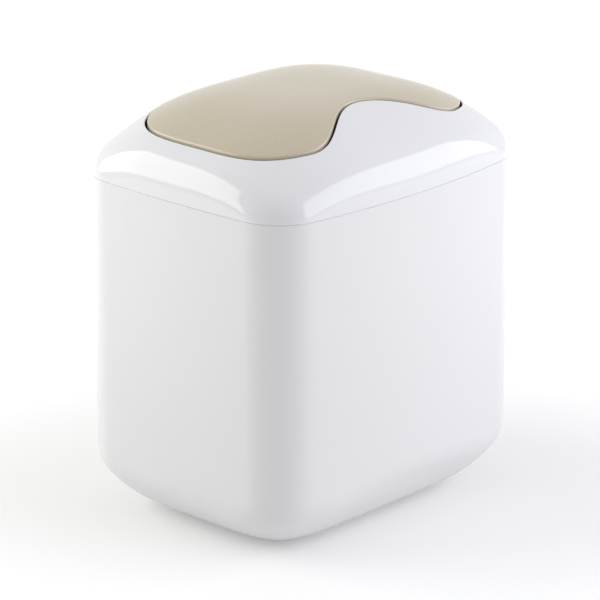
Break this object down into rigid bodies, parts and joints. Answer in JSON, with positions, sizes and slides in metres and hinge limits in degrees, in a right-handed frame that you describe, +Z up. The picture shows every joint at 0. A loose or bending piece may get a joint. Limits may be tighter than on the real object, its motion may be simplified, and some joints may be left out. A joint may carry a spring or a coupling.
{
  "type": "countertop trash can",
  "caption": "Small countertop trash can, a rounded box-shaped tub with a lift-off domed lid and a self-closing swing flap with a finger notch.",
  "frame": {"origin": "middle of the foot, on the surface the can stands on", "axes": "+Z up; +X along the wide front face, to the right as seen from the front; +Y to the back, away from the flap's finger notch"},
  "size_m": [0.1524, 0.127, 0.1778],
  "materials": {
    "tub_plastic": "satin",
    "cover_plastic": "gloss",
    "frame_plastic": "matte",
    "flap_plastic": "satin",
    "carrier_plastic": "matte",
    "steel": "satin"
  },
  "bodies": {
    "tub": {"bin_tub": "tub_plastic"},
    "lid": {"lid_cover": "cover_plastic", "lid_frame": "frame_plastic"},
    "flap": {"swing_flap": "flap_plastic", "flap_carrier": "carrier_plastic", "pivot_pin_left": "steel", "pivot_pin_right": "steel", "counterweight_rod": "steel"}
  },
  "joints": [
    {"name": "lid_lift", "type": "slide", "parent": "tub", "child": "lid", "axis": [0, 0, 1], "range_m": [0, 0.06]},
    {"name": "flap_swing", "type": "hinge", "parent": "lid", "child": "flap", "pos_m": [0, 0.0015, 0.156], "axis": [1, 0, 0], "range_deg": [-75, 75]}
  ]
}
